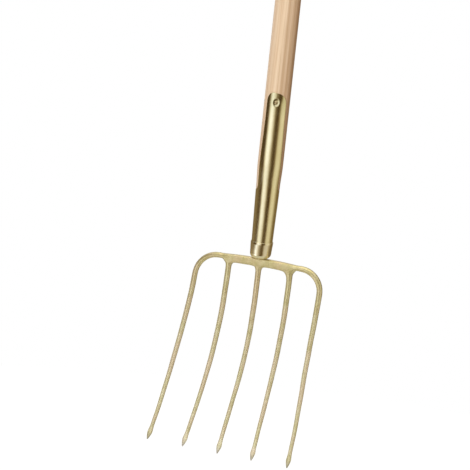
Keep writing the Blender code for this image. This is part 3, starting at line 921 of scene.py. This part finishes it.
# Painted shade and light: the wood is darker on its side towards the camera's right, away from the key
# lamp, and paler and bluer on its left, which the key lamp lights
SHADED_SIDE = radians(20.0)
PAINTED_SHADE_FROM = 0.0050
PAINTED_SHADE_TINT = (0.76, 0.58, 0.44)
PAINTED_LIGHT_ENDS = -0.012
PAINTED_LIGHT_TINT = (1.10, 1.14, 1.26)
# The ash from its darkest streaks to its palest
ASH_STOPS = ((0.32, (0.53, 0.35, 0.22)), (0.48, (0.69, 0.52, 0.365)), (0.68, (0.78, 0.635, 0.485)))
WARM_ASH = (0.64, 0.43, 0.26)
ASH_PORES = (0.48, 0.31, 0.18)
ASH_ROUGHNESS = (0.52, 0.40)


def ash_look():
    """Light ash: long fine pores, soft growth lines and a thin clear finish, with painted shade on its
    right side and painted light on its left.
    """
    look = Look("sealed ash")
    streaks = look.noise(260.0, 3.2, detail=6.0, roughness=0.62)
    fibres = look.noise(1100.0, 14.0, detail=5.0, roughness=0.6)
    broad = look.noise(60.0, 1.1, detail=2.0)
    base = look.ramp(streaks, ASH_STOPS)
    warm = look.mix(look.span(broad, 0.35, 0.65, 0.0, 0.35), base, WARM_ASH)
    pores = look.span(fibres, 0.36, 0.50, 0.35, 0.0)
    grain = look.mix(pores, warm, ASH_PORES)
    sideways = (cos(SHADED_SIDE), sin(SHADED_SIDE), 0.0)
    across = look.calculate("DOT_PRODUCT", look.place, sideways, kind="VectorMath")
    # Painted shade on the side away from the key lamp
    painted_shade = look.span(across, PAINTED_SHADE_FROM, HANDLE_RADIUS)
    darker = look.mix(painted_shade, grain, PAINTED_SHADE_TINT, blend="MULTIPLY")
    # Painted light, paler and bluer, on the side the key lamp lights
    painted_light = look.span(across, -HANDLE_RADIUS, PAINTED_LIGHT_ENDS, 1.0, 0.0)
    colour = look.mix(painted_light, darker, PAINTED_LIGHT_TINT, blend="MULTIPLY")
    look.finish(colour, look.span(streaks, *NOISE_RANGE, *ASH_ROUGHNESS), metallic=0.0)
    look.shader["Coat Weight"].default_value = 0.15
    look.shader["Coat Roughness"].default_value = 0.25
    look.bump(fibres, distance=0.00012, strength=0.6)
    return look.material


# Platings: name, the two colours of their stains, least and most roughness
FERRULE_PLATING = ("plated ferrule", (1.00, 0.94, 0.66), (0.95, 0.86, 0.57), 0.14, 0.23)
COLLAR_PLATING = ("plated collar", (1.00, 0.95, 0.72), (1.00, 0.90, 0.66), 0.11, 0.17)
# Painted shade: the plating is darker towards the strap's end, which dims its highlight there
STRAP_END_SHADE_HEIGHTS = (HEAD + 0.222, HEAD + 0.248)
STRAP_END_SHADE_TINT = (0.82, 0.83, 0.78)


def plated_look(name, first_colour, second_colour, least_rough, most_rough):
    """Glossy pale gold plating on sheet: faint staining, fine rubbing marks, slight ripples, and painted
    shade towards the strap's end.
    """
    look = Look(name)
    stain = look.noise(90.0, 40.0, detail=5.0)
    rubs = look.noise(900.0, 60.0, detail=3.0)
    ripples = look.noise(70.0, 26.0, detail=1.0)
    plating = look.mix(look.span(stain, 0.35, 0.70), first_colour, second_colour)
    # Painted shade that dims the highlight towards the strap's end
    dark = look.span(look.part("Z"), *STRAP_END_SHADE_HEIGHTS)
    colour = look.mix(dark, plating, STRAP_END_SHADE_TINT, blend="MULTIPLY")
    look.finish(colour, look.span(rubs, *NOISE_RANGE, least_rough, most_rough), metallic=1.0)
    rippled = look.bump(ripples, distance=0.0006, strength=0.30)
    look.bump(rubs, distance=0.00002, strength=0.4, under=rippled)
    return look.material


# The lacquer from its darkest blotches to its palest, and the pinker patches in it
LACQUER_STOPS = ((0.34, (0.53, 0.47, 0.23)), (0.50, (0.60, 0.535, 0.295)), (0.66, (0.67, 0.605, 0.37)))
PINK_PATCHES = (0.66, 0.525, 0.345)
PINK_SHARE = 0.65
LACQUER_ROUGHNESS = (0.27, 0.34)
# Painted light from the pale floor makes the tines paler and bluer the lower they reach, and the lacquer
# is worn off the points
TINE_LIGHT_BELOW = 0.14
TINE_LIGHT_GAIN = (1.20, 1.25, 1.46)
POINTS = HEAD - TINE_DROP
BARE_POINT = 0.011
BARE_SHARE = 0.9
BARE_OUTER = (0.30, 0.28, 0.20)
BARE_INNER = (0.42, 0.40, 0.38)
# The inner tines are rubbed paler above their points than the outer ones
INNER_TINES_WITHIN = (0.070, 0.090)
RUBBED_UNDER = (0.012, 0.030)
RUBBED_GAIN = (1.15, 1.18, 1.27)
# Painted shade: the bar is a little darker, from its top down to just under it, which dims its reflection
# of the pale table
BAR_SHADE_TINT = (0.885, 0.875, 0.82)
BAR_SHADE_HEIGHTS = (HEAD - BAR_HEIGHT, HEAD - BAR_HEIGHT / 3)
# The bar and its bends are glossier and a little brighter than the tines below them
GLOSSY_ABOVE = (HEAD - 0.085, HEAD - 0.030)
DULLER_BY = 0.21
GLOSSY_GAIN = (1.08, 1.08, 1.07)


def lacquer_colour(look, height):
    """Gold with pink patches, painted light down the tines and painted shade on the bar, and steel at the
    points.
    """
    blotches = look.noise(120.0, 80.0, detail=5.0, distortion=0.4)
    patches = look.noise(55.0, 30.0, detail=3.0)
    gold = look.ramp(blotches, LACQUER_STOPS)
    colour = look.mix(look.span(patches, 0.42, 0.60, 0.0, PINK_SHARE), gold, PINK_PATCHES)
    sideways = look.calculate("ABSOLUTE", look.part("X"))
    inner = look.span(sideways, *INNER_TINES_WITHIN, 1.0, 0.0)
    low = look.span(height, *(POINTS + above for above in RUBBED_UNDER), 1.0, 0.0)
    gains = (
        # Painted light down the tines
        (look.span(height, HEAD - TINE_LIGHT_BELOW, HEAD, 1.0, 0.0), TINE_LIGHT_GAIN),
        # Painted shade on the bar
        (look.span(height, *BAR_SHADE_HEIGHTS), BAR_SHADE_TINT),
        (look.span(height, *GLOSSY_ABOVE), GLOSSY_GAIN),
        (look.calculate("MULTIPLY", inner, low), RUBBED_GAIN),
    )
    for share, gain in gains:
        colour = look.mix(share, colour, gain, blend="MULTIPLY")
    bare = look.span(height, POINTS, POINTS + BARE_POINT, BARE_SHARE, 0.0)
    return look.mix(bare, colour, look.mix(inner, BARE_OUTER, BARE_INNER))


def forged_look():
    """Pale gold lacquer over forged steel: blotchy, satin, and grey where the points are bare."""
    look = Look("lacquered forged steel")
    height = look.part("Z")
    pits = look.noise(420.0, 240.0, detail=3.0)
    satin = look.span(pits, *NOISE_RANGE, *LACQUER_ROUGHNESS)
    roughness = look.calculate("ADD", satin, look.span(height, *GLOSSY_ABOVE, DULLER_BY, 0.0))
    look.finish(lacquer_colour(look, height), roughness, metallic=0.6)
    hammer = look.noise(110.0, 70.0, detail=2.0)
    hammered = look.bump(hammer, distance=0.0010, strength=0.14)
    look.bump(pits, distance=0.00002, strength=0.3, under=hammered)
    return look.material


SCREW_STOPS = ((0.35, (0.48, 0.37, 0.19)), (0.65, (0.70, 0.57, 0.34)))
SCREW_ROUGHNESS = (0.30, 0.45)


def screw_look():
    """Plating that is darker and duller than the strap's, with fine stains."""
    look = Look("screw plating")
    stain = look.noise(500.0, 500.0)
    roughness = look.span(stain, *NOISE_RANGE, *SCREW_ROUGHNESS)
    look.finish(look.ramp(stain, SCREW_STOPS), roughness, metallic=1.0)
    look.bump(stain, distance=0.00004, strength=0.5)
    return look.material


# Stage, light and camera

STAGE_STEPS = 96
FLOOR_BELOW = 0.35
FLOOR_RADIUS = 1.7
FLOOR_COLOUR = (0.90, 0.90, 0.90)
FLOOR_ROUGHNESS = 0.9
FLOOR_SHADOW = 0.20
FLOOR_WHITE = 1.12


def disc(name, radius, height):
    """A flat round plate about the handle's axis."""
    mesh = bpy.data.meshes.new(name)
    shape = bmesh.new()
    bmesh.ops.create_circle(shape, cap_ends=True, segments=STAGE_STEPS, radius=radius)
    shape.to_mesh(mesh)
    shape.free()
    made = put_in_scene(name, mesh)
    made.location = (0.0, 0.0, height)
    return made


def only_reflected(piece):
    """Leaves a piece of the stage to be seen in reflections alone."""
    piece.visible_camera = piece.visible_shadow = piece.visible_diffuse = False


def floor():
    """A pale round floor that keeps a faint shadow and otherwise shows as white as the background."""
    made = disc("floor", FLOOR_RADIUS, CAD_BOX[0].z - FLOOR_BELOW)
    pale = bpy.data.materials.new("pale floor")
    recipe = Recipe(pale)
    matt = recipe.nodes["Principled BSDF"]
    recipe.give(matt.inputs["Base Color"], FLOOR_COLOUR)
    recipe.give(matt.inputs["Roughness"], FLOOR_ROUGHNESS)
    white = recipe.node("Emission", {"Strength": FLOOR_WHITE})
    share = recipe.calculate("MULTIPLY", recipe.seen_directly(), 1 - FLOOR_SHADOW)
    layers = {0: share, 1: matt.outputs["BSDF"], 2: white.outputs["Emission"]}
    recipe.surface(recipe.node("MixShader", layers).outputs["Shader"])
    made.data.materials.append(pale)


CAMERA_YAW = radians(20.0)

# The studio's walls as the metal sees them: bearing in degrees to the right of the camera, and brightness.
# The main window is on the left, a dark strip just right of the camera, a pale wall on the right, and the
# white backdrop straight behind the object. A low, a main and a high zone fade into each other. In the
# low one the window and the dark strip lie further to the left.
WALL_DISTANCE = 0.7
WALL_LOW = HEAD - 0.60
WALL_HIGH = HEAD + 0.50
BACKDROP_LEFT = ((-180.0, 0.95), (-168.0, 0.60))
BACKDROP_RIGHT = ((154.0, 0.20), (168.0, 0.60), (180.0, 0.95))
RIGHT_WALL = ((70.0, 0.72), (88.0, 0.42), (106.0, 0.17))
MAIN_WALL = (
    *BACKDROP_LEFT, (-154.0, 0.20), (-112.0, 0.22), (-92.0, 0.14), (-74.0, 0.07), (-61.0, 0.11),
    (-47.0, 0.84), (-38.0, 1.00), (-24.0, 0.92), (-13.0, 0.68), (-3.0, 0.23), (7.0, 0.08),
    (20.0, 0.06), (30.0, 0.14), (44.0, 0.64), *RIGHT_WALL, *BACKDROP_RIGHT,
)
LOW_WALL = (
    *BACKDROP_LEFT, (-154.0, 0.35), (-120.0, 0.38), (-86.0, 0.52), (-74.0, 0.78), (-64.0, 1.24),
    (-53.0, 1.24), (-41.0, 0.72), (-25.0, 0.35), (-10.0, 0.15), (8.0, 0.09), (18.0, 0.20),
    (32.0, 0.56), (62.0, 0.60), (84.0, 0.30), (104.0, 0.18), *BACKDROP_RIGHT,
)
HIGH_WALL = (
    *BACKDROP_LEFT, (-154.0, 0.20), (-112.0, 0.18), (-92.0, 0.10), (-74.0, 0.048),
    (-62.0, 0.085), (-48.0, 0.86), (-38.0, 1.10), (-24.0, 1.02), (-13.0, 0.68), (-3.0, 0.23),
    (7.0, 0.09), (20.0, 0.07), (31.0, 0.15), (45.0, 0.66), *RIGHT_WALL, *BACKDROP_RIGHT,
)
LOW_TO_MAIN = (HEAD - 0.195, HEAD - 0.160)
MAIN_TO_HIGH = (HEAD - 0.030, HEAD + 0.015)
# Dark parts of the room are warmer: green and blue fall faster than red
WALL_COLOUR_POWERS = (("Red", 1.0), ("Green", 1.20), ("Blue", 1.6))
# Above the low zone the wall on the right is yellower: bearing and tint
RIGHT_WALL_TINT = (1.0, 0.99, 0.86)
WALL_TINTS = ((22.0, WHITE), (38.0, RIGHT_WALL_TINT), (110.0, RIGHT_WALL_TINT), (150.0, WHITE))


def ramp_place(degrees):
    """A bearing's place on a ramp that runs once round the walls."""
    return 0.5 + degrees / 360


def wall_material():
    """Brightness and colour that change smoothly round the object and with height."""
    look = Look("studio walls")
    height = look.part("Z")
    bearing = look.calculate("ARCTAN2", look.part("X"), look.part("Y"))
    round_share = look.span(bearing, -pi, pi)
    shades = []
    for brightness in (LOW_WALL, MAIN_WALL, HIGH_WALL):
        stops = [(ramp_place(degrees), (bright, bright, bright)) for degrees, bright in brightness]
        shades.append(look.ramp(round_share, stops))
    low, main, high = shades
    above_low = look.span(height, *LOW_TO_MAIN)
    above_main = look.span(height, *MAIN_TO_HIGH)
    bright = look.mix(above_main, look.mix(above_low, low, main), high)
    channels = {name: look.calculate("POWER", bright, power) for name, power in WALL_COLOUR_POWERS}
    warm = look.node("CombineColor", channels).outputs["Color"]
    side_tint = look.ramp(round_share, [(ramp_place(degrees), tint) for degrees, tint in WALL_TINTS])
    colour = look.mix(above_low, warm, side_tint, blend="MULTIPLY")
    look.surface(look.node("Emission", {"Color": colour}).outputs["Emission"])
    return look.material


def walls():
    """A tall ring of wall that only reflections see. Its own +Y points at the camera's side."""
    cage = lathe(((WALL_DISTANCE, WALL_LOW), (WALL_DISTANCE, WALL_HIGH)), STAGE_STEPS)
    mesh = bpy.data.meshes.new("studio_walls")
    mesh.from_pydata(cage.points, [], cage.faces)
    made = put_in_scene("studio_walls", mesh)
    made.scale = (1.0, -1.0, 1.0)
    made.rotation_euler = (0.0, 0.0, CAMERA_YAW)
    mesh.materials.append(wall_material())
    only_reflected(made)


CEILING_RADIUS = 0.82
CEILING_ABOVE_HEAD = 1.45
CEILING_COLOUR = (2.40, 2.28, 1.88)
TABLE_RADIUS = 1.2
TABLE_BELOW_HEAD = 0.60
TABLE_COLOUR = (0.62, 0.59, 0.47)
CLOUDS_DARKER = 0.8


def glowing_disc(name, radius, height, colour):
    """A bright plate under or over the object that only reflections see, with faint clouds on it."""
    made = disc(name, radius, height)
    look = Look(name)
    clouds = look.noise(3.0, 3.0, detail=2.0)
    darker = tuple(CLOUDS_DARKER * part for part in colour)
    cloudy = look.ramp(clouds, ((0.35, darker), (0.65, colour)))
    look.surface(look.node("Emission", {"Color": cloudy}).outputs["Emission"])
    made.data.materials.append(look.material)
    only_reflected(made)


WORLD_LIGHT = (0.35, 0.32, 0.25)


def world():
    """White where it is seen, while its light on matt surfaces is dim and warm."""
    made = bpy.data.worlds.new("studio")
    recipe = Recipe(made)
    shade = recipe.mix(recipe.seen_directly(), WORLD_LIGHT, WHITE)
    recipe.give(recipe.nodes["Background"].inputs["Color"], shade)
    bpy.context.scene.world = made


def direction(bearing, rise):
    """Away from the object, at a bearing from the camera's side and a rise, in radians."""
    angle = CAMERA_YAW + bearing
    away = Vector((sin(angle), -cos(angle), 0.0)) * cos(rise)
    away.z = sin(rise)
    return away


LAMP_DISTANCE = 2.6
# Softboxes: name, bearing from the camera's side and elevation in degrees, size in metres, power in watts
LAMPS = (
    ("key", -22.0, 24.0, 1.6, 52.0),
    ("fill", 50.0, 18.0, 1.4, 1.5),
    ("back", -150.0, 30.0, 1.6, 34.0),
)


def softbox(name, bearing, elevation, size, power):
    """A square lamp that points at the head and doesn't show in reflections."""
    data = bpy.data.lights.new(name, "AREA")
    data.shape = "SQUARE"
    data.size = size
    data.energy = power
    made = put_in_scene(name, data)
    away = direction(radians(bearing), radians(elevation))
    made.location = HEAD_MIDDLE + away * LAMP_DISTANCE
    made.rotation_euler = away.to_track_quat("Z", "Y").to_euler()
    made.visible_glossy = False


# The camera, fitted to the photograph together with the tines' curve
CAMERA_RISE = radians(11.3)
CAMERA_ROLL = radians(6.05)
CAMERA_DISTANCE = 4.0
AIM_RIGHT = -0.0370
AIM_UP = 0.0410
PHOTO_WIDTH = 470
PHOTO_PIXELS_PER_METRE = 669.5
SENSOR = 36.0
VIEW_END = 60.0


def camera():
    """Looks at the head from where the photograph was taken."""
    back = direction(0.0, CAMERA_RISE)
    level = Vector((cos(CAMERA_YAW), sin(CAMERA_YAW), 0.0))
    upward = back.cross(level)
    right = level * cos(CAMERA_ROLL) + upward * sin(CAMERA_ROLL)
    up = upward * cos(CAMERA_ROLL) - level * sin(CAMERA_ROLL)
    aim = HEAD_MIDDLE + right * AIM_RIGHT + up * AIM_UP
    data = bpy.data.cameras.new("camera")
    data.sensor_width = SENSOR
    data.lens = PHOTO_PIXELS_PER_METRE * CAMERA_DISTANCE / PHOTO_WIDTH * SENSOR
    data.clip_end = VIEW_END
    made = put_in_scene("camera", data)
    turn = Matrix((right, up, back)).transposed().to_4x4()
    made.matrix_world = Matrix.Translation(aim + back * CAMERA_DISTANCE) @ turn
    bpy.context.scene.camera = made


def build():
    """Makes every piece, then the stage, the light and the camera."""
    forged = forged_look()
    forged_head(forged)
    neck(forged)
    strap_ferrule(plated_look(*FERRULE_PLATING))
    collar_cap(plated_look(*COLLAR_PLATING))
    strap_screw(screw_look())
    ash_handle(ash_look())
    floor()
    walls()
    glowing_disc("studio_table", TABLE_RADIUS, HEAD - TABLE_BELOW_HEAD, TABLE_COLOUR)
    glowing_disc("studio_ceiling", CEILING_RADIUS, HEAD + CEILING_ABOVE_HEAD, CEILING_COLOUR)
    world()
    for values in LAMPS:
        softbox(*values)
    camera()
    bpy.context.scene.view_settings.view_transform = "Standard"


build()
